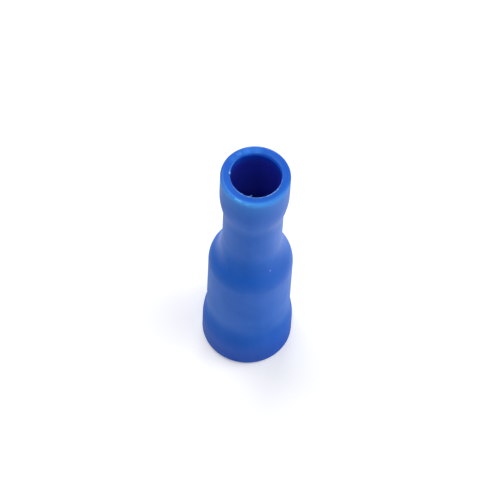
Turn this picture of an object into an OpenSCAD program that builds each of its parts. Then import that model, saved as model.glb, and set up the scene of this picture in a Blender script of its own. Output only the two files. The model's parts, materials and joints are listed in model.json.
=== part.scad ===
// Insulated crimp socket connector: a moulded vinyl sleeve round a contact rolled from sheet metal.
// It stands on its socket end with the axis along +Z and the wire entry on top. Millimetres.

/* [Contact] */
// Thickness of the sheet that the contact is rolled from
sheet = 0.4; // [0.3:0.05:0.5]
// Bore of the socket, the diameter of the bullet pin it takes
socket_bore = 4; // [3.5:0.1:5]
// Length of the socket, from its mouth to the shoulder
socket_length = 8.6; // [7:0.1:11]
// Length over which the contact draws in from the socket to the barrel
contact_shoulder = 2; // [1.5:0.1:3]
// Bore of the crimp barrel, for the bare conductor
barrel_bore = 2.5; // [1.7:0.1:3]
// Length of the crimp barrel
barrel_length = 5.2; // [4:0.1:7]
// Spring gap along the socket and the shoulder
slit_width = 0.5; // [0.2:0.05:0.8]
// Butt seam along the barrel
seam_width = 0.1; // [0.05:0.01:0.2]
// Depth of the rolled ring that grips the bullet pin
bead_depth = 0.2; // [0.1:0.05:0.3]
// Length of the rolled ring along the axis
bead_length = 1.6; // [1.2:0.1:2.2]
// Middle of the rolled ring, from the socket's mouth
bead_offset = 3.2; // [2:0.1:4.5]
// Number of serration grooves inside the barrel
groove_count = 3; // [1:1:4]
// Width of a serration groove
groove_width = 0.4; // [0.2:0.05:0.6]
// Depth of a serration groove
groove_depth = 0.1; // [0.05:0.05:0.15]
// Chamfer inside the contact's two mouths
contact_ease = 0.15; // [0.05:0.05:0.2]

/* [Sleeve inside] */
// Clearance all round between the contact and the sleeve
contact_fit = 0.05; // [0.03:0.01:0.1]
// Depth of the contact's mouth inside the sleeve
contact_recess = 2; // [1:0.1:3]
// How far the skirt's mouth opens past the contact's pocket, all round
mouth_flare = 0.3; // [0.1:0.05:0.5]
// Bore of the wire entry, for the wire's insulation
wire_bore = 4.2; // [3.6:0.1:4.8]

/* [Sleeve outside] */
// Wall round the socket and in the skirt
body_wall = 1.15; // [0.8:0.05:1.4]
// Wall of the neck, round the barrel
neck_wall = 0.82; // [0.5:0.02:1]
// Wall of the collar, round the wire entry
collar_wall = 0.8; // [0.5:0.05:1]
// Height of the skirt's straight stretch
skirt_height = 2.1; // [1:0.1:3]
// Height over which the skirt draws in to the body
skirt_bend = 3.1; // [2:0.1:4]
// How far the body runs on above the socket before its shoulder
shoulder_lead = 0.85; // [0.3:0.05:1.5]
// Height of the shoulder
shoulder_bend = 4.1; // [3:0.1:5]
// How far the neck runs on above the barrel
neck_cover = 1.1; // [0.5:0.1:2]
// Height over which the neck widens to the collar
collar_bend = 3.45; // [2:0.05:5]
// Height of the collar's straight stretch
collar_height = 2.65; // [1.5:0.05:4]
// Rounding of the rim's outer edge
rim_round = 0.25; // [0.1:0.05:0.35]
// Rounding of the foot's outer edge
foot_round = 0.3; // [0.1:0.05:0.4]
// Rounding of the inner edges at both mouths
inner_round = 0.08; // [0.04:0.02:0.14]

/* [Hidden] */
$fn = 96;

// Steps in each arc of a bend and in each rounded edge
arc_steps = 6;
// Share of each sleeve bend that its lower arc takes
skirt_lower = 0.6;
shoulder_lower = 0.36;
collar_lower = 0.42;
// Share of a groove's width that its flat floor takes
groove_floor = 0.5;
// Length by which a cutter runs past what it cuts
over = 1;

// Heights along the contact
z_mouth = contact_recess;
z_bead = z_mouth + bead_offset;
z_socket_top = z_mouth + socket_length;
z_barrel_base = z_socket_top + contact_shoulder;
z_barrel_top = z_barrel_base + barrel_length;

// Heights along the sleeve
z_skirt_top = skirt_height;
z_body_base = z_skirt_top + skirt_bend;
z_body_top = z_socket_top + shoulder_lead;
z_neck_base = z_body_top + shoulder_bend;
z_neck_top = z_barrel_top + neck_cover;
z_collar_base = z_neck_top + collar_bend;
z_rim = z_collar_base + collar_height;

// Radii at the middle of the contact's sheet
socket_mid = (socket_bore + sheet) / 2;
bead_mid = socket_mid - bead_depth;
barrel_mid = (barrel_bore + sheet) / 2;

// Radii of the sleeve, inside and outside
pocket_r = socket_mid + sheet / 2 + contact_fit;
neck_bore_r = barrel_mid + sheet / 2 + contact_fit;
wire_r = wire_bore / 2;
mouth_r = pocket_r + mouth_flare;
skirt_r = mouth_r + body_wall;
body_r = pocket_r + body_wall;
neck_r = neck_bore_r + neck_wall;
collar_r = wire_r + collar_wall;

// The sum of the two arc radii of an upright bend, negative where the bend draws in
function bend_radius(p, q) = (q.y - p.y) / sin(2 * atan((q.x - p.x) / (q.y - p.y)));

// An upright bend from p to q, each [radius, height]: two arcs that meet in a common tangent.
// lower is the share of the lower arc.
function bend(p, q, lower) =
    p.x == q.x ? [p, q] :
    let (turn = 2 * atan((q.x - p.x) / (q.y - p.y)),
         total = bend_radius(p, q))
    concat(
        [for (i = [0 : arc_steps])
            let (a = turn * i / arc_steps)
            p + lower * total * [1 - cos(a), sin(a)]],
        [for (i = [arc_steps - 1 : -1 : 0])
            let (a = turn * i / arc_steps)
            q - (1 - lower) * total * [1 - cos(a), sin(a)]]);

// One face of a bend in the sheet, from the middle line p to q, at the sheet's full thickness all along.
// side is 1 for the outer face and -1 for the inner one.
function sheet_bend(p, q, side) =
    let (half = [side * sheet / 2, 0],
         shift = p.x == q.x ? 0 : half.x / bend_radius(p, q))
    bend(p + half, q + half, 0.5 - shift);

// A rounded edge: a quarter turn about a centre
function rounded_edge(centre, radius, start) =
    [for (i = [0 : arc_steps])
        let (a = start + 90 * i / arc_steps)
        centre + radius * [cos(a), sin(a)]];

function reversed(points) = [for (i = [len(points) - 1 : -1 : 0]) points[i]];

// The contact's shoulder, on one face of the sheet
function shoulder_face(side) =
    sheet_bend([socket_mid, z_socket_top], [barrel_mid, z_barrel_base], side);

// The rolled ring in the socket, on one face of the sheet
function bead_face(side) =
    let (reach = bead_length / 2)
    concat(
        sheet_bend([socket_mid, z_bead - reach], [bead_mid, z_bead], side),
        sheet_bend([bead_mid, z_bead], [socket_mid, z_bead + reach], side));

// The serration grooves inside the barrel, evenly spread along it
function groove_points() =
    let (pitch = barrel_length / (groove_count + 1),
         wall = barrel_bore / 2)
    [for (i = [1 : groove_count])
        let (z = z_barrel_base + pitch * i)
        each [[wall, z - groove_width / 2],
              [wall + groove_depth, z - groove_width * groove_floor / 2],
              [wall + groove_depth, z + groove_width * groove_floor / 2],
              [wall, z + groove_width / 2]]];

// The wall of the rolled contact in section, before it is split
function contact_section() =
    let (outer = sheet / 2,
         socket_wall = socket_bore / 2,
         barrel_wall = barrel_bore / 2)
    concat(
        [[socket_wall + contact_ease, z_mouth], [socket_mid + outer, z_mouth]],
        bead_face(1),
        shoulder_face(1),
        [[barrel_mid + outer, z_barrel_top], [barrel_wall + contact_ease, z_barrel_top],
         [barrel_wall, z_barrel_top - contact_ease]],
        reversed(groove_points()),
        reversed(shoulder_face(-1)),
        reversed(bead_face(-1)),
        [[socket_wall, z_mouth + contact_ease]]);

// The inside of the sleeve from the mouth up: it follows the contact's outer face
function sleeve_inside() =
    concat(
        bend([mouth_r, z_skirt_top], [pocket_r, z_body_base], skirt_lower),
        [for (p = shoulder_face(1)) p + [contact_fit, 0]],
        bend([neck_bore_r, z_neck_top], [wire_r, z_collar_base], collar_lower));

function sleeve_outside() =
    concat(
        bend([skirt_r, z_skirt_top], [body_r, z_body_base], skirt_lower),
        bend([body_r, z_body_top], [neck_r, z_neck_base], shoulder_lower),
        bend([neck_r, z_neck_top], [collar_r, z_collar_base], collar_lower));

// The sleeve's wall in section, round from the foot's inner edge
function sleeve_section() =
    concat(
        rounded_edge([mouth_r + inner_round, inner_round], inner_round, 180),
        rounded_edge([skirt_r - foot_round, foot_round], foot_round, 270),
        sleeve_outside(),
        rounded_edge([collar_r - rim_round, z_rim - rim_round], rim_round, 0),
        rounded_edge([wire_r + inner_round, z_rim - inner_round], inner_round, 90),
        reversed(sleeve_inside()));

// A cut of a given width through one side of the contact, on +Y, from one height to another
module side_cut(width, low, high) {
    reach = socket_mid + sheet + over;
    translate([-width / 2, 0, low])
        cube([width, reach, high - low]);
}

module insulating_sleeve() {
    color([0.1, 0.36, 0.78])
        rotate_extrude()
            polygon(sleeve_section());
}

module socket_contact() {
    color("silver")
        difference() {
            rotate_extrude()
                polygon(contact_section());
            side_cut(slit_width, z_mouth - over, z_barrel_base);
            side_cut(seam_width, z_socket_top, z_barrel_top + over);
        }
}

insulating_sleeve();
socket_contact();
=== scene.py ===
import json
import math

import bpy
from mathutils import Matrix, Vector


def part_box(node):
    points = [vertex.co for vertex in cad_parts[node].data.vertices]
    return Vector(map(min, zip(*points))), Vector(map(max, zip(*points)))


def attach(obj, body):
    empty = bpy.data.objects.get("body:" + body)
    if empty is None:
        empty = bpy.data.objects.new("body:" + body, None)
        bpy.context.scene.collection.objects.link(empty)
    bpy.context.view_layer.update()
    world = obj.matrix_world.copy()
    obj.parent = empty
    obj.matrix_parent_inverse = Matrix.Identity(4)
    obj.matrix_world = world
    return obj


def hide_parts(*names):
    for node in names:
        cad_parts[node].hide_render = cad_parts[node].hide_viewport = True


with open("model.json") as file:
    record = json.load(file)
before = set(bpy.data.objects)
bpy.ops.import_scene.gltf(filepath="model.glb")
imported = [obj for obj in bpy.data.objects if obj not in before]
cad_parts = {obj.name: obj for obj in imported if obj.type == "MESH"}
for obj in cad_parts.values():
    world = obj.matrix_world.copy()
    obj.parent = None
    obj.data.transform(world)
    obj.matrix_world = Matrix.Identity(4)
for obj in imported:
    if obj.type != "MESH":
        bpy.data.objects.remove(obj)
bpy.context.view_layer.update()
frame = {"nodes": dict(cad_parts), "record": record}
mm = 0.001
mounts = {m["name"]: m["dims"] for m in frame["record"]["mounts"]}
print("frame loaded:", ", ".join(sorted(frame["nodes"])))


# helpers for object and edit mode

def selectOnly(obj):
    bpy.ops.object.select_all(action="DESELECT")
    obj.select_set(True)
    bpy.context.view_layer.objects.active = obj


def objectMode():
    bpy.ops.object.mode_set(mode="OBJECT")


def editOnly(obj, mode):
    if bpy.context.object and bpy.context.object.mode != "OBJECT":
        objectMode()
    selectOnly(obj)
    bpy.ops.object.mode_set(mode="EDIT")
    bpy.ops.mesh.select_mode(type=mode)


def drawProfile(name, points):
    # one vertex, extruded point by point round the section in the XZ plane
    bpy.ops.object.select_all(action="DESELECT")
    bpy.ops.mesh.primitive_plane_add(size=mm, location=(0, 0, 0))
    obj = bpy.context.object
    obj.name = name
    obj.data.name = name
    editOnly(obj, "VERT")
    bpy.ops.mesh.select_all(action="SELECT")
    bpy.ops.mesh.merge(type="CENTER")
    bpy.ops.transform.translate(value=(points[0][0], 0, points[0][1]))
    for here, there in zip(points, points[1:]):
        step = (there[0] - here[0], 0, there[1] - here[1])
        bpy.ops.mesh.extrude_vertices_move(TRANSFORM_OT_translate={"value": step})
    return obj


def spinProfile(obj, segments, weld=0.002 * mm):
    bpy.ops.mesh.select_all(action="SELECT")
    bpy.ops.mesh.spin(steps=segments, angle=math.tau, center=(0, 0, 0), axis=(0, 0, 1))
    bpy.ops.mesh.select_all(action="SELECT")
    bpy.ops.mesh.remove_doubles(threshold=weld)
    bpy.ops.mesh.normals_make_consistent(inside=False)
    objectMode()


def pickParts(obj, mode, test):
    # select by place, then stay in edit mode; returns the middle of what was picked
    editOnly(obj, mode)
    bpy.ops.mesh.select_all(action="DESELECT")
    objectMode()
    parts = obj.data.polygons if mode == "FACE" else obj.data.vertices
    places = []
    for part in parts:
        place = part.center if mode == "FACE" else part.co
        part.select = test(place)
        if part.select:
            places.append(place.copy())
    editOnly(obj, mode)
    return sum(places, Vector()) / max(len(places), 1)


def polar(azimuth, radius, height=0.0):
    # azimuth 0 faces the camera and grows to its right
    a = math.radians(azimuth)
    return Vector((radius * math.sin(a), -radius * math.cos(a), height))


def azimuthOf(place):
    return math.degrees(math.atan2(place.x, -place.y))


def turnFrom(place, azimuth):
    # degrees between a place and an azimuth, whichever way is shorter
    return abs((azimuthOf(place) - azimuth + 180) % 360 - 180)


def radiusOf(place):
    return math.hypot(place.x, place.y)


def roughen(obj, name, depth, grain, direction="NORMAL", group=""):
    # only ever takes away, so the piece stays inside its box
    selectOnly(obj)
    cloud = bpy.data.textures.new(name, "CLOUDS")
    cloud.noise_scale = grain
    push = obj.modifiers.new(name, "DISPLACE")
    push.texture = cloud
    push.texture_coords = "LOCAL"
    push.direction = direction
    push.strength = -depth
    push.mid_level = 0
    push.vertex_group = group
    bpy.ops.object.modifier_apply(modifier=name)


# section shapes, each point a radius and a height

def arcPoints(centre, radius, start, turn, steps):
    angles = [start + turn * i / steps for i in range(steps + 1)]
    return [(centre[0] + radius * math.cos(a), centre[1] + radius * math.sin(a)) for a in angles]


def roundEdge(corner, radius, start, steps=8):
    # a quarter turn anticlockwise round an outside corner, from the given heading
    inward = start + math.pi * 1.25
    centre = (corner[0] + radius * math.sqrt(2) * math.cos(inward),
              corner[1] + radius * math.sqrt(2) * math.sin(inward))
    return arcPoints(centre, radius, start, math.pi / 2, steps)


def upBend(low, high, lowerShare, steps=14):
    # upright at both ends, two arcs that meet in a common tangent
    rise, widen = high[1] - low[1], high[0] - low[0]
    turn = 2 * math.atan(widen / rise)
    total = rise / math.sin(turn)
    first, second = lowerShare * total, (1 - lowerShare) * total
    angles = [turn * i / steps for i in range(steps + 1)]
    lower = [(low[0] + first * (1 - math.cos(a)), low[1] + first * math.sin(a)) for a in angles]
    upper = [(high[0] - second * (1 - math.cos(a)), high[1] - second * math.sin(a)) for a in angles]
    return lower + upper[-2::-1]


# sizes that both pieces share, from the frame

contactLow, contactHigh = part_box("socket_contact")
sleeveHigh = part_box("insulating_sleeve")[1]
socketR = mounts["socket_mouth"]["r_mm"] * mm
barrelR = mounts["conductor_barrel"]["r_mm"] * mm
wireR = mounts["wire_entry"]["r_mm"] * mm
sheet = contactHigh.x - socketR

contact = {
    "segments": 128,
    "bendSteps": 8,          # in each arc of a bend
    "socketLength": 8.6 * mm,
    "shoulder": 2 * mm,
    "beadDepth": 0.2 * mm,
    "beadLength": 1.6 * mm,
    "beadOffset": 3.2 * mm,
    "grooveWidth": 0.4 * mm,
    "grooveDepth": 0.1 * mm,
    "grooveFloor": 0.5,      # share of the width that the flat floor takes
    "grooves": 3,
    "ease": 0.15 * mm,       # chamfer inside both mouths
    "edgeRound": 0.05 * mm,  # outer edges of the cut sheet
    "edgeSteps": 4,
    "slit": 0.5 * mm,
    "seam": 0.1 * mm,
    "weld": 0.001 * mm,      # points closer than this are merged after the cuts
    "smoothAngle": 32,
}
socketTop = contactLow.z + contact["socketLength"]
barrelBase = socketTop + contact["shoulder"]
barrelTop = contactHigh.z
socketMid = socketR + sheet / 2
barrelMid = barrelR + sheet / 2


def sheetBend(low, high, side):
    # one face of a bend in the sheet: side is 1 outside and -1 inside
    half = side * sheet / 2
    total = (high[1] - low[1]) / math.sin(2 * math.atan((high[0] - low[0]) / (high[1] - low[1])))
    return upBend((low[0] + half, low[1]), (high[0] + half, high[1]), 0.5 - half / total,
                  contact["bendSteps"])


def contactShoulder(side):
    return sheetBend((socketMid, socketTop), (barrelMid, barrelBase), side)


def contactBead(side):
    middle = contactLow.z + contact["beadOffset"]
    reach = contact["beadLength"] / 2
    inner = socketMid - contact["beadDepth"]
    return (sheetBend((socketMid, middle - reach), (inner, middle), side)
            + sheetBend((inner, middle), (socketMid, middle + reach), side)[1:])


def barrelGrooves():
    pitch = (barrelTop - barrelBase) / (contact["grooves"] + 1)
    wide, floorR = contact["grooveWidth"], barrelR + contact["grooveDepth"]
    floorWide = wide * contact["grooveFloor"]
    points = []
    for i in range(contact["grooves"]):
        z = barrelBase + pitch * (i + 1)
        points += [(barrelR, z - wide / 2), (floorR, z - floorWide / 2),
                   (floorR, z + floorWide / 2), (barrelR, z + wide / 2)]
    return points


def cutterBox(width, low, high):
    # reaches from the axis out past the sheet on +Y
    reach = contactHigh.x * 2
    bpy.ops.object.select_all(action="DESELECT")
    bpy.ops.mesh.primitive_cube_add(size=1, location=(0, reach / 2, (low + high) / 2))
    bpy.ops.transform.resize(value=(width, reach, high - low))
    return bpy.context.object


def makeContact():
    ease, edge, edgeSteps = contact["ease"], contact["edgeRound"], contact["edgeSteps"]
    section = roundEdge((contactHigh.x, contactLow.z), edge, -math.pi / 2, edgeSteps)
    section += contactBead(1) + contactShoulder(1)
    section += roundEdge((barrelMid + sheet / 2, barrelTop), edge, 0, edgeSteps)
    section += [(barrelR + ease, barrelTop), (barrelR, barrelTop - ease)]
    section += barrelGrooves()[::-1] + contactShoulder(-1)[::-1] + contactBead(-1)[::-1]
    section += [(socketR, contactLow.z + ease), (socketR + ease, contactLow.z)]
    obj = drawProfile("rolledContact", section + section[:1])
    spinProfile(obj, contact["segments"])
    past = sheet  # the cuts run past both ends by this
    cuts = [cutterBox(contact["slit"], contactLow.z - past, barrelBase),
            cutterBox(contact["seam"], socketTop, barrelTop + past)]
    for cut in cuts:
        selectOnly(obj)
        split = obj.modifiers.new("split", "BOOLEAN")
        split.operation = "DIFFERENCE"
        split.object = cut
        split.solver = "EXACT"
        bpy.ops.object.modifier_apply(modifier="split")
        bpy.data.objects.remove(cut)
    editOnly(obj, "VERT")
    bpy.ops.mesh.select_all(action="SELECT")
    bpy.ops.mesh.remove_doubles(threshold=contact["weld"])
    objectMode()
    bpy.ops.object.shade_smooth_by_angle(angle=math.radians(contact["smoothAngle"]))
    return obj


sleeve = {
    "segments": 192,
    "fit": 0.05 * mm,          # clearance to the contact
    "neckWall": 0.82 * mm,
    "collarWall": 0.8 * mm,
    "wall": 1.15 * mm,         # round the socket and in the skirt
    "skirtHeight": 2.1 * mm,
    "skirtBend": 3.1 * mm,
    "shoulderLead": 0.85 * mm,
    "shoulderBend": 4.1 * mm,
    "neckCover": 1.1 * mm,
    "collarBend": 3.45 * mm,
    "skirtLower": 0.6,         # share of each bend that its lower arc takes
    "shoulderLower": 0.36,
    "collarLower": 0.42,
    "rimRound": 0.25 * mm,
    "footRound": 0.3 * mm,
    "innerRound": 0.08 * mm,
    "innerSteps": 6,
    "unevenDepth": 0.012 * mm,  # slow waves all over the moulding
    "unevenGrain": 2.5 * mm,
    "smoothAngle": 40,
    # the rim, with the flash that is left round the wire entry
    "rimDrop": 0.055 * mm,     # from the box's top down to the flat, which leaves room for the flash
    "rimRings": 6,             # rings on the flat, so that it can be uneven
    "entryEase": 0.02 * mm,    # the entry opens a little towards its mouth
    "lipWide": 0.1 * mm,       # the flash stands round the entry as a thin lip
    "lipRise": 0.045 * mm,
    "lipSteps": 10,
    "lipGrain": 0.22 * mm,     # length of its ups and downs
    "lipFrom": 0.002 * mm,     # what stands higher than this over the flat is flash
    "lipFoot": 0.03 * mm,      # from the flash to the flat's last ring
    # the entry sits a little off centre, and the bore leans over to it in steps
    "coreShift": (0.035 * mm, -0.015 * mm),
    "shiftSteps": 6,
    # the entry's edge is worn round at the back: azimuth, reach to each side and full reach
    "softSpan": (163, 78, 48),
    "softDrops": [(0.2, 0.004), (0.16, 0.012), (0.1, 0.022),  # out from the bore and drop, millimetres
                  (0.065, 0.04), (0.035, 0.055), (0.012, 0.065)],
    "softLean": (-0.3, -0.45),  # sideways, as a share of the drop
    "softDepth": 0.2 * mm,
    "softSteps": 8,
    # a mark across the rim, at the back left: azimuth, rise and how far out it reaches
    "scores": [(-145.3, 0.014 * mm, 0.42 * mm), (-142.5, -0.03 * mm, 0.42 * mm),
               (-140.6, 0.014 * mm, 0.42 * mm), (-138.7, -0.04 * mm, 0.15 * mm)],
    "scoreDepth": 0.1 * mm,
    "scoreColumns": 0.6,       # half its width, in columns of the mesh
    # the longest bit of flash, which leans in over the entry from the lip's inner face;
    # root is the share of the lip's width that it grows out of
    "whisker": {"azimuth": -11.3, "length": 0.27 * mm, "lean": 32, "drop": 0.01 * mm,
                "tapers": (0.8, 0.75, 0.6), "root": 0.4},
    # short bits of flash: azimuth, width in degrees and paleness
    "crumbs": [(-91.6, 7.5, 0.85), (-30, 4.0, 0.35), (-14.6, 4.0, 0.4)],
    "crumbRise": 0.05 * mm,
    "crumbTaper": (1, 0.8, 0.4),
    # nicks along the rim's outer edge, with painted glints: from, to, angle round it and paleness of the
    # glint
    "nicks": [(-33, -23, 56.25, 0.9), (-13.5, -9.4, 33.75, 0.5)],
    "nickReach": 0.02 * mm,
    "nickRise": 0.012 * mm,
    # a speck that stands out of the shoulder, which has this radius there
    "pip": {"azimuth": 36.5, "height": 13.68 * mm, "radius": 2.86 * mm, "reach": 0.09 * mm,
            "rise": 0.025 * mm, "taper": (0.8, 0.8, 0.5)},
}
rimFlat = sleeveHigh.z - sleeve["rimDrop"]
collarR = wireR + sleeve["collarWall"]
entryR = wireR + sleeve["entryEase"]
flashOuterR = wireR + sleeve["lipWide"] * 1.5  # the bore and the flash lie inside this
flashInnerR = wireR * 0.97                     # only the whisker reaches further in
columnWide = 360 / sleeve["segments"]
entryShift = Vector((*sleeve["coreShift"], 0))


def makeSleeve():
    s = sleeve
    pocketR = contactHigh.x + s["fit"]
    neckBoreR = barrelMid + sheet / 2 + s["fit"]
    skirtR, bodyR = sleeveHigh.x, pocketR + s["wall"]
    mouthR = skirtR - s["wall"]
    neckR = neckBoreR + s["neckWall"]
    bodyBase = s["skirtHeight"] + s["skirtBend"]
    bodyTop = socketTop + s["shoulderLead"]
    neckTop = barrelTop + s["neckCover"]
    collarBase = neckTop + s["collarBend"]
    outside = upBend((skirtR, s["skirtHeight"]), (bodyR, bodyBase), s["skirtLower"])
    outside += upBend((bodyR, bodyTop), (neckR, bodyTop + s["shoulderBend"]), s["shoulderLower"])
    outside += upBend((neckR, neckTop), (collarR, collarBase), s["collarLower"])
    inside = upBend((mouthR, s["skirtHeight"]), (pocketR, bodyBase), s["skirtLower"])
    inside += [(r + s["fit"], z) for r, z in contactShoulder(1)]
    inside += upBend((neckBoreR, neckTop), (wireR, collarBase), s["collarLower"])
    lipHalf = s["lipWide"] / 2
    lip = [(r, rimFlat + (z - rimFlat) * s["lipRise"] / lipHalf)
           for r, z in arcPoints((entryR + lipHalf, rimFlat), lipHalf, 0, math.pi, s["lipSteps"])]
    flatOut, flatIn = collarR - s["rimRound"], entryR + s["lipWide"]
    flat = [(flatOut + (flatIn - flatOut) * i / s["rimRings"], rimFlat) for i in range(1, s["rimRings"])]
    section = roundEdge((mouthR, 0), s["innerRound"], math.pi, s["innerSteps"])
    section += roundEdge((skirtR, 0), s["footRound"], -math.pi / 2)
    section += outside
    section += roundEdge((collarR, rimFlat), s["rimRound"], 0)
    section += flat + [(flatIn + s["lipFoot"], rimFlat)] + lip + inside[::-1]
    obj = drawProfile("sleeveShell", section + section[:1])
    spinProfile(obj, s["segments"])
    return obj, (neckTop, collarBase)


def unevenLip(obj):
    pickParts(obj, "VERT", lambda p: p.z > rimFlat + sleeve["lipFrom"])
    bpy.ops.object.vertex_group_add()
    bpy.ops.object.vertex_group_assign()
    objectMode()
    obj.vertex_groups.active.name = "lip"
    roughen(obj, "lipNoise", sleeve["lipRise"], sleeve["lipGrain"], "Z", "lip")
    roughen(obj, "sleeveNoise", sleeve["unevenDepth"], sleeve["unevenGrain"])
    obj.vertex_groups.clear()


def softenBack(obj):
    # presses the rings round the entry down in steps, less towards the ends of the span
    middle, reach, full = sleeve["softSpan"]
    steps = sleeve["softSteps"]
    lean = Vector((*sleeve["softLean"], -1))
    for i in range(steps):
        span = full + (reach - full) * i / (steps - 1)
        for away, drop in sleeve["softDrops"]:
            pickParts(obj, "VERT", lambda p: p.z > rimFlat - sleeve["softDepth"]
                      and radiusOf(p) < wireR + away * mm and turnFrom(p, middle) < span)
            bpy.ops.transform.translate(value=lean * drop * mm / steps)
    objectMode()


def scoreRim(obj):
    for azimuth, rise, reach in sleeve["scores"]:
        pickParts(obj, "VERT", lambda p: p.z > rimFlat - sleeve["scoreDepth"]
                  and wireR < radiusOf(p) < wireR + reach
                  and turnFrom(p, azimuth) < columnWide * sleeve["scoreColumns"])
        bpy.ops.transform.translate(value=(0, 0, rise))
    objectMode()


def shiftEntry(obj, low, high):
    steps = sleeve["shiftSteps"]
    for i in range(steps):
        above = low + (high - low) * (i + 0.5) / steps
        pickParts(obj, "VERT", lambda p: p.z > above and radiusOf(p) < flashOuterR)
        bpy.ops.transform.translate(value=entryShift / steps)
    objectMode()


def pullWhisker(obj):
    whisker = sleeve["whisker"]
    rootR = wireR + sleeve["lipWide"] * whisker["root"]
    middle = pickParts(obj, "FACE", lambda p: p.z > rimFlat and radiusOf(p - entryShift) < rootR
                       and turnFrom(p - entryShift, whisker["azimuth"]) < columnWide)
    step = whisker["length"] / len(whisker["tapers"])
    reach = polar(whisker["azimuth"] - whisker["lean"], -step, -whisker["drop"])
    for taper in whisker["tapers"]:
        bpy.ops.mesh.extrude_region_move(TRANSFORM_OT_translate={"value": reach})
        middle = middle + reach
        bpy.ops.transform.resize(value=(taper, taper, taper), center_override=middle)


def raiseFaces(obj, rise, taper, test):
    middle = pickParts(obj, "FACE", test)
    bpy.ops.mesh.extrude_region_shrink_fatten(TRANSFORM_OT_shrink_fatten={"value": rise})
    bpy.ops.transform.resize(value=taper, center_override=middle)


def raiseCrumbs(obj):
    for azimuth, width, _ in sleeve["crumbs"]:
        raiseFaces(obj, sleeve["crumbRise"], sleeve["crumbTaper"],
                   lambda p: p.z > rimFlat and radiusOf(p) > flashInnerR
                   and turnFrom(p - entryShift, azimuth) < width / 2)


def edgePoint(angle):
    # radius and height on the rim's outer rounding
    turn = math.radians(angle)
    return (collarR - sleeve["rimRound"] * (1 - math.cos(turn)),
            rimFlat - sleeve["rimRound"] * (1 - math.sin(turn)))


def raiseNicks(obj):
    for start, end, angle, _ in sleeve["nicks"]:
        r, z = edgePoint(angle)
        pickParts(obj, "VERT", lambda p: start < azimuthOf(p) < end
                  and math.hypot(radiusOf(p) - r, p.z - z) < sleeve["nickReach"])
        bpy.ops.transform.shrink_fatten(value=sleeve["nickRise"])


def raisePip(obj):
    pip = sleeve["pip"]
    raiseFaces(obj, pip["rise"], pip["taper"],
               lambda p: turnFrom(p, pip["azimuth"]) < columnWide / 2
               and abs(p.z - pip["height"]) < pip["reach"] and radiusOf(p) > wireR)


def finishSleeve():
    obj, (low, high) = makeSleeve()
    unevenLip(obj)
    softenBack(obj)
    scoreRim(obj)
    shiftEntry(obj, low, high)
    pullWhisker(obj)
    raiseCrumbs(obj)
    raiseNicks(obj)
    raisePip(obj)
    objectMode()
    selectOnly(obj)
    bpy.ops.object.shade_smooth_by_angle(angle=math.radians(sleeve["smoothAngle"]))
    return obj


# shader maths: a wire is a socket that takes Python arithmetic

class Wire:
    def __init__(self, shader, socket):
        self.shader = shader
        self.socket = socket

    def maths(self, operation, *values):
        return self.shader.node("Math", {"operation": operation}, dict(enumerate(values)))

    def __add__(self, other):
        return self.maths("ADD", self, other)

    def __radd__(self, other):
        return self.maths("ADD", other, self)

    def __sub__(self, other):
        return self.maths("SUBTRACT", self, other)

    def __rsub__(self, other):
        return self.maths("SUBTRACT", other, self)

    def __mul__(self, other):
        return self.maths("MULTIPLY", self, other)

    def __rmul__(self, other):
        return self.maths("MULTIPLY", other, self)

    def __pow__(self, other):
        return self.maths("POWER", self, other)


class Shader:
    def __init__(self, name, spans=None):
        self.material = bpy.data.materials.new(name)
        self.material.use_nodes = True
        self.tree = self.material.node_tree
        self.tree.nodes.clear()
        self.spans = spans

    def node(self, kind, settings=None, sockets=None, out=0):
        made = self.tree.nodes.new("ShaderNode" + kind)
        for key, value in (settings or {}).items():
            setattr(made, key, value)
        for key, value in (sockets or {}).items():
            if isinstance(value, Wire):
                self.tree.links.new(value.socket, made.inputs[key])
            else:
                made.inputs[key].default_value = value
        return Wire(self, made.outputs[out]) if made.outputs else None

    def outputs(self, wire, *names):
        return [Wire(self, wire.socket.node.outputs[name]) for name in names]

    def locate(self):
        self.point = self.node("TexCoord", out="Object")
        x, y, z = self.outputs(self.node("SeparateXYZ", {}, {"Vector": self.point}), "X", "Y", "Z")
        self.at = {"x": x, "y": y, "z": z, "radius": (x * x + y * y) ** 0.5}

    def where(self, name):
        # all the spans of a mask, multiplied
        masks = [self.ramp(self.at[key], start, full) for key, start, full in self.spans[name]]
        return math.prod(masks[1:], start=masks[0])

    def spot(self, place, size, core):
        # core is the share of the size within which the spot is full
        away = self.node("VectorMath", {"operation": "DISTANCE"}, {0: self.point, 1: place}, "Value")
        return self.ramp(away, size, size * core)

    def highest(self, first, *others):
        for other in others:
            first = first.maths("MAXIMUM", first, other)
        return first

    def mixColour(self, factor, first, second):
        return self.node("Mix", {"data_type": "RGBA"}, {0: factor, 6: first, 7: second}, 2)

    def noise(self, point, scale, detail=2.0):
        return self.node("TexNoise", {}, {"Vector": point, "Scale": scale, "Detail": detail})

    def stretch(self, point, along):
        return self.node("Mapping", {}, {"Vector": point, "Scale": (1, 1, along)})

    def ramp(self, value, low, high):
        return self.node("MapRange", {"clamp": True}, {"Value": value, "From Min": low, "From Max": high})

    def surface(self, wire):
        self.node("OutputMaterial", {}, {"Surface": wire})
        return self.material


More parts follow.
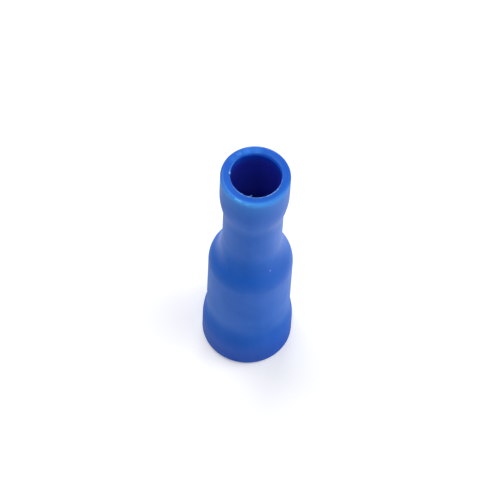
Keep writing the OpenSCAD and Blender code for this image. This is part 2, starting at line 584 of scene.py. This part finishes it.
vinyl = {
    "blue": (0.011, 0.132, 0.622, 1),
    "deep": (0.0092, 0.117, 0.566, 1),
    "skirt": (0.0074, 0.087, 0.51, 1),  # painted shade: darker towards the foot, near the floor
    "dull": (0.0096, 0.106, 0.555, 1),  # painted shade on the flat of the rim, most of all on its right
    "backEdgeShade": (0.013, 0.1, 0.46, 1),      # painted shade on the rim's outer edge at the back
    "edge": (0.06, 0.37, 0.95, 1),      # painted glow: the rim's front edge is paler, as if light came through the thin vinyl
    "wall": (0.006, 0.078, 0.63, 1),    # painted shade just inside the wire entry
    "boreShade": (0.02, 0.033, 0.395, 1),    # painted shade deeper in, where the entry is darkest
    # painted light: the entry's deep wall is lighter on its right
    "boreLightRight": (0.03, 0.048, 0.54, 1),
    "flash": (0.24, 0.48, 0.98, 1),
    "glint": (0.14, 0.52, 1.0, 1),      # painted glints on the nicks
    "mottle": 320,                      # patches per metre
    "mottleSpan": (0.35, 0.65),
    "streak": 1900,                     # faint lines along the axis, as the core leaves the mould
    "streakStretch": 0.06,
    "grain": 7000,
    "grainHeight": 0.006 * mm,
    "bump": 0.6,
    "streakBump": 0.6,                  # next to the grain's
    "roughness": 0.32,
    "scatter": (0.12, 0.3, 0.8),
    "scatterScale": 0.5 * mm,
    "scatterWeight": 0.5,
    "rimShadeShare": (0.35, 0.45),          # painted shade all over the flat, and added on the right
    "backEdgeShadeShare": 0.8,
    "edgePower": 1.5,
    "edgeNearShare": 0.62,              # the rest fades further down
    "edgeLoss": (0.45, 0.3),            # to the right and to the left
    # painted light: pale patches at the back of the rim, where it is lit more: azimuth, size in
    # millimetres and paleness
    "wornAndRimLight": [(-161, 0.6, 0.4), (-179, 0.6, 0.3), (-145.4, 0.3, 0.35),
             (-140.8, 0.3, 0.35), (-126, 0.5, 0.25)],
    "rimLightAway": 0.32 * mm,              # out from the bore
    # pale spots on the bits of flash, and painted glints along the nicks
    "whiskerSpot": (0.6, 0.55, 0.5),    # place and size as shares of its length, and paleness
    "crumbSpot": 0.14 * mm,
    "pipSpot": (0.1 * mm, 0.4),         # size and paleness
    "spotCore": 0.7,                    # share of a spot that is full
    "nickSpot": (0.1 * mm, 0.4, 7),     # size, full share and count
    # paleness and gloss of the flash: the least of it, and the grain that shows; the paleness is partly
    # painted highlight, stronger at the front right
    "flashLit": (0.35, (0.2, 0.45)),
    "glossLit": (0.25, (0.3, 0.55)),
    "litShare": 0.65,                   # added at the front right
    "litBackLoss": 0.65,
    "brokenLeast": 0.3,                 # left of it between the streaks
    "brokenSpan": (0.42, 0.56),
    # weight of the satin skin that the mould leaves, and what changes it
    "sheen": (0.33, 0.43),
    "sheenMottle": 0.6,                 # share of the patches, the rest being the streaks'
    "sheenEntryLoss": 0.6,
    "sheenFoot": 0.85,
    "sheenGain": {"side": 0.55, "footRight": -0.45, "flat": 0.5, "bends": -0.3, "brink": 1.0},
    # where each tint and each change of sheen lies: a coordinate, where it starts and where it is full
    "spans": {
        "skirt": [("z", 4.8 * mm, 1.5 * mm)],
        "flat": [("z", rimFlat - 0.25 * mm, rimFlat - 0.1 * mm)],
        "rimShadeRight": [("x", 0.8 * mm, 2.2 * mm)],
        "backEdgeShade": [("radius", collarR - 0.3 * mm, collarR - 0.04 * mm), ("y", -0.5 * mm, 1.5 * mm),
                 ("z", rimFlat - 0.6 * mm, rimFlat - 0.2 * mm)],
        "edge": [("radius", collarR - 0.41 * mm, collarR - 0.08 * mm)],
        "edgeNear": [("z", rimFlat - 0.7 * mm, rimFlat - 0.15 * mm)],
        "edgeFar": [("z", rimFlat - 3 * mm, rimFlat - 0.2 * mm)],
        "edgeFront": [("y", 0.6 * mm, -1.8 * mm)],
        "edgeRight": [("x", 0.2 * mm, 2.6 * mm)],
        "edgeLeft": [("x", -1 * mm, -2.6 * mm)],
        "inside": [("radius", wireR + 0.25 * mm, wireR + 0.15 * mm)],
        "upper": [("z", barrelTop - 2 * mm, barrelTop)],
        "wall": [("z", rimFlat - 0.06 * mm, rimFlat - 0.2 * mm)],
        "boreShade": [("z", rimFlat - 0.15 * mm, rimFlat - 1.2 * mm)],
        "boreLightRight": [("x", 0.2 * mm, 1.9 * mm)],
        "lip": [("z", rimFlat + sleeve["lipFrom"], rimFlat + 0.014 * mm),
                ("radius", collarR, collarR - 0.4 * mm)],
        "litRight": [("x", -0.5 * mm, 0.3 * mm)],
        "litBack": [("y", -1.6 * mm, -0.4 * mm)],
        "entry": [("z", rimFlat, rimFlat - 0.2 * mm)],
        "body": [("z", 2 * mm, 6 * mm)],
        "side": [("x", -0.3 * mm, 1.8 * mm), ("z", 6 * mm, 14 * mm)],
        "footRight": [("x", 1 * mm, 3 * mm), ("z", 5 * mm, 2 * mm)],
        "shoulderBend": [("z", 11.6 * mm, 12.8 * mm), ("z", 16 * mm, 14.5 * mm)],
        "skirtBend": [("z", 2 * mm, 3.2 * mm), ("z", 5.6 * mm, 4.2 * mm)],
        "bendLeft": [("x", 1.8 * mm, 0.3 * mm)],
        # where the shoulder runs out into the neck, on the left
        "brink": [("radius", 2.5 * mm, 2.65 * mm), ("radius", 3.2 * mm, 2.75 * mm),
                  ("x", -1.8 * mm, -2.5 * mm), ("z", 16.5 * mm, 16 * mm)],
    },
}


def edgeGlowMask(s):
    # painted glow on the rim's front edge, less to the right and the left
    near, far = s.where("edgeNear"), s.where("edgeFar")
    share = vinyl["edgeNearShare"]
    rightLoss, leftLoss = vinyl["edgeLoss"]
    edge = s.where("edge") ** vinyl["edgePower"] * (near * near * share + far * far * (1 - share))
    return (edge * s.where("edgeFront")
            * (1 - s.where("edgeRight") * rightLoss - s.where("edgeLeft") * leftLoss))


def flashPoint(azimuth):
    return polar(azimuth, entryR, sleeveHigh.z) + entryShift


def speckMask(s):
    # the whisker, the crumbs and the pip
    whisker, pip = sleeve["whisker"], sleeve["pip"]
    along, size, pale = vinyl["whiskerSpot"]
    tip = polar(whisker["azimuth"] - whisker["lean"], -whisker["length"] * along)
    specks = [(flashPoint(whisker["azimuth"]) + tip, whisker["length"] * size, pale)]
    specks += [(flashPoint(azimuth), vinyl["crumbSpot"], pale) for azimuth, _, pale in sleeve["crumbs"]]
    specks += [(polar(pip["azimuth"], pip["radius"], pip["height"]), *vinyl["pipSpot"])]
    return s.highest(*[s.spot(place, size, vinyl["spotCore"]) * pale for place, size, pale in specks])


def nickMask(s):
    # painted glints along the nicks
    size, core, count = vinyl["nickSpot"]
    spots = []
    for start, end, angle, pale in sleeve["nicks"]:
        for i in range(count):
            place = polar(start + (end - start) * i / (count - 1), *edgePoint(angle))
            spots.append(s.spot(place, size, core) * pale)
    return s.highest(*spots)


def rimLightMask(s):
    spots = []
    for azimuth, size, pale in vinyl["wornAndRimLight"]:
        spots.append(s.spot(polar(azimuth, wireR + vinyl["rimLightAway"], rimFlat), size * mm, 0) * pale)
    return s.highest(*spots)


def lipMasks(s, grain, streak):
    # the paleness and the gloss of the flash, both broken up along it; the paleness is the flash's own
    # whitening and partly painted highlight where it is lit at the front right
    least = vinyl["brokenLeast"]
    broken = least + s.ramp(streak, *vinyl["brokenSpan"]) * (1 - least)
    lit = s.where("litRight") * (1 - s.where("litBack") * vinyl["litBackLoss"])
    lip = s.where("lip")
    return [lip * s.ramp(grain, *shown) * (dimmest + lit * vinyl["litShare"]) * broken
            for dimmest, shown in (vinyl["flashLit"], vinyl["glossLit"])]


def vinylColour(s, mottle, flash, glint):
    v = vinyl
    flat, inside, upper = s.where("flat"), s.where("inside"), s.where("upper")
    shadeAllOver, shadeOnRight = v["rimShadeShare"]
    colour = s.mixColour(s.ramp(mottle, *v["mottleSpan"]), v["deep"], v["blue"])
    # painted shade, darker towards the foot
    colour = s.mixColour(s.where("skirt"), colour, v["skirt"])
    # painted shade on the rim's flat, more on its right
    colour = s.mixColour(flat * (shadeAllOver + s.where("rimShadeRight") * shadeOnRight), colour, v["dull"])
    # painted light: pale patches at the back of the rim, in the edge's colour
    colour = s.mixColour(flat * rimLightMask(s), colour, v["edge"])
    # painted shade on the rim's outer edge at the back
    colour = s.mixColour(s.where("backEdgeShade") * v["backEdgeShadeShare"], colour, v["backEdgeShade"])
    # painted glow along the rim's front edge
    colour = s.mixColour(edgeGlowMask(s), colour, v["edge"])
    # painted shade inside the wire entry, darker with depth and lighter on the right
    colour = s.mixColour(inside * s.where("wall") * upper, colour, v["wall"])
    boreShadeColour = s.mixColour(s.where("boreLightRight"), v["boreShade"], v["boreLightRight"])
    colour = s.mixColour(inside * s.where("boreShade") * upper, colour, boreShadeColour)
    # the flash's own paleness, with painted highlight on the lip at the front right
    colour = s.mixColour(flash, colour, v["flash"])
    # painted glints on the nicks
    return s.mixColour(glint, colour, v["glint"])


def vinylSheen(s, mottle, streak):
    v = vinyl
    low, high = v["sheen"]
    patches = mottle * v["sheenMottle"] + streak * (1 - v["sheenMottle"])
    sheen = low + (high - low) * s.ramp(patches, *v["mottleSpan"])
    sheen = sheen * (1 - s.where("inside") * s.where("entry") * v["sheenEntryLoss"])
    sheen = sheen * (v["sheenFoot"] + s.where("body") * (1 - v["sheenFoot"]))
    flat = s.where("flat")
    masks = {
        "side": s.where("side") * (1 - flat),
        "footRight": s.where("footRight"),
        "flat": flat,
        "bends": (s.where("shoulderBend") + s.where("skirtBend")) * s.where("bendLeft"),
        "brink": s.where("brink"),
    }
    gain = 1
    for name, mask in masks.items():
        gain = gain + mask * v["sheenGain"][name]
    return sheen * gain


def vinylMaterial():
    s = Shader("blueVinyl", vinyl["spans"])
    s.locate()
    mottle = s.noise(s.point, vinyl["mottle"], detail=3.0)
    streak = s.noise(s.stretch(s.point, vinyl["streakStretch"]), vinyl["streak"])
    grain = s.noise(s.point, vinyl["grain"])
    flash, gloss = lipMasks(s, grain, streak)
    flash = s.highest(flash, speckMask(s))
    glint = nickMask(s)
    sheen = vinylSheen(s, mottle, streak)
    sheen = sheen + (1 - sheen) * s.highest(flash, gloss, glint)
    bump = s.node("Bump", {}, {"Strength": vinyl["bump"], "Distance": vinyl["grainHeight"],
                               "Height": grain + streak * vinyl["streakBump"]})
    return s.surface(s.node("BsdfPrincipled", {}, {
        "Base Color": vinylColour(s, mottle, flash, glint),
        "Roughness": vinyl["roughness"], "Normal": bump, "Specular IOR Level": 0.0,
        "Coat Weight": sheen, "Coat Roughness": vinyl["roughness"],
        "Subsurface Weight": vinyl["scatterWeight"], "Subsurface Radius": vinyl["scatter"],
        "Subsurface Scale": vinyl["scatterScale"]}))


tin = {
    "bright": (0.74, 0.73, 0.70, 1),
    "dull": (0.55, 0.54, 0.50, 1),
    "cloud": 900,                # dull patches per metre
    "cloudSpan": (0.4, 0.7),
    "rolled": 9000,              # rolling lines run along the strip
    "rolledStretch": 0.04,
    "rolledHeight": 0.003 * mm,
    "bump": 0.5,
    "roughness": (0.2, 0.38),
    "roughSpan": (0.35, 0.65),
    "roughCloud": 0.5,           # share of the patches, the rest being the lines'
}


def tinMaterial():
    s = Shader("tinPlate")
    point = s.node("TexCoord", out="Object")
    cloud = s.noise(point, tin["cloud"], detail=4.0)
    rolled = s.noise(s.stretch(point, tin["rolledStretch"]), tin["rolled"], detail=3.0)
    colour = s.mixColour(s.ramp(cloud, *tin["cloudSpan"]), tin["bright"], tin["dull"])
    low, high = tin["roughness"]
    wornAndRimLight = cloud * tin["roughCloud"] + rolled * (1 - tin["roughCloud"])
    rough = low + (high - low) * s.ramp(wornAndRimLight, *tin["roughSpan"])
    bump = s.node("Bump", {}, {"Strength": tin["bump"], "Distance": tin["rolledHeight"],
                               "Height": rolled})
    return s.surface(s.node("BsdfPrincipled", {}, {
        "Base Color": colour, "Roughness": rough, "Normal": bump, "Metallic": 1.0}))


contactObj = makeContact()
print("contact rolled:", len(contactObj.data.polygons), "faces")
sleeveObj = finishSleeve()
print("sleeve moulded:", len(sleeveObj.data.polygons), "faces")

for obj, node, slot, material in ((sleeveObj, "insulating_sleeve", "sleeve_vinyl", vinylMaterial()),
                                  (contactObj, "socket_contact", "tinned_contact", tinMaterial())):
    obj.data.materials.clear()
    obj.data.materials.append(material)
    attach(obj, "root")
    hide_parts(node)
print("materials on")

# the stage: a white floor that keeps its shadow, soft lights and the camera

studio = {
    "floorSize": 3.0,
    "floorDrop": 0.01 * mm,
    "floorWhite": (0.9, 0.9, 0.91, 1),
    "floorLift": 0.205,     # extra white that only the camera and reflections see
    "world": 0.0,           # the lamps alone give the light
    "lampDistance": 0.4,
    "lampSize": 0.25,
    "lamps": [              # azimuth from the camera's side, elevation, strength
        ("keyLamp", 226, 56, 0.37),
        ("backLamp", 180, 15, 0.66),
        ("topLamp", 86, 66, 0.38),
        ("sideLamp", 90, 12, 0.34),
        ("leftLamp", 275, 58, 0.09),
        ("frontLamp", 0, 40, 0.19),
        ("overLamp", -15, 76, 0.13),
    ],
}
camera = {
    "elevation": 59.45,
    "roll": -3.456,
    "distance": 260 * mm,
    "focalPixels": 3076,    # in a frame of this many pixels
    "frame": 500,
    "sensor": 36.0,
    "clip": (10 * mm, 10),
    "aim": (-0.098 * mm, 0.281 * mm),
}


def floorMaterial():
    s = Shader("paleFloor")
    rays = s.outputs(s.node("LightPath"), "Is Camera Ray", "Is Glossy Ray", "Is Transmission Ray")
    seen = s.highest(*rays)
    matte = s.node("BsdfDiffuse", {}, {"Color": studio["floorWhite"]})
    lift = s.node("Emission", {}, {"Color": (1, 1, 1, 1), "Strength": seen * studio["floorLift"]})
    return s.surface(s.node("AddShader", {}, {0: matte, 1: lift}))


bpy.ops.object.select_all(action="DESELECT")
bpy.ops.mesh.primitive_plane_add(size=studio["floorSize"], location=(0, 0, -studio["floorDrop"]))
floor = bpy.context.object
floor.name = "floor"
floor.data.materials.append(floorMaterial())

scene = bpy.context.scene
world = bpy.data.worlds.new("studioWorld")
world.use_nodes = True
world.node_tree.nodes["Background"].inputs["Color"].default_value = (1, 1, 1, 1)
world.node_tree.nodes["Background"].inputs["Strength"].default_value = studio["world"]
scene.world = world

aim = Vector((*camera["aim"], sleeveHigh.z / 2))


def around(azimuth, elevation, distance):
    a, e = math.radians(azimuth), math.radians(elevation)
    return aim + distance * Vector((math.sin(a) * math.cos(e), -math.cos(a) * math.cos(e), math.sin(e)))


# a lamp of full power shows a matt surface that faces it in the colour as written
fullPower = (math.pi * studio["lampDistance"]) ** 2
for name, azimuth, elevation, strength in studio["lamps"]:
    place = around(azimuth, elevation, studio["lampDistance"])
    bpy.ops.object.light_add(type="AREA", location=place)
    lamp = bpy.context.object
    lamp.name = name
    lamp.rotation_euler = (aim - place).to_track_quat("-Z", "Y").to_euler()
    lamp.data.shape = "DISK"
    lamp.data.size = studio["lampSize"]
    lamp.data.energy = strength * fullPower
    lamp.visible_camera = False

back = around(0, camera["elevation"], 1) - aim
right = Vector((1, 0, 0))
up = back.cross(right)
roll = math.radians(camera["roll"])
camRight = math.cos(roll) * right - math.sin(roll) * up
camUp = math.sin(roll) * right + math.cos(roll) * up
bpy.ops.object.camera_add(location=aim + back * camera["distance"])
cam = bpy.context.object
cam.name = "camera"
cam.rotation_euler = Matrix((camRight, camUp, back)).transposed().to_euler()
cam.data.sensor_width = camera["sensor"]
cam.data.lens = camera["focalPixels"] / camera["frame"] * camera["sensor"]
cam.data.clip_start, cam.data.clip_end = camera["clip"]
scene.camera = cam
scene.view_settings.view_transform = "Standard"
print("stage set")
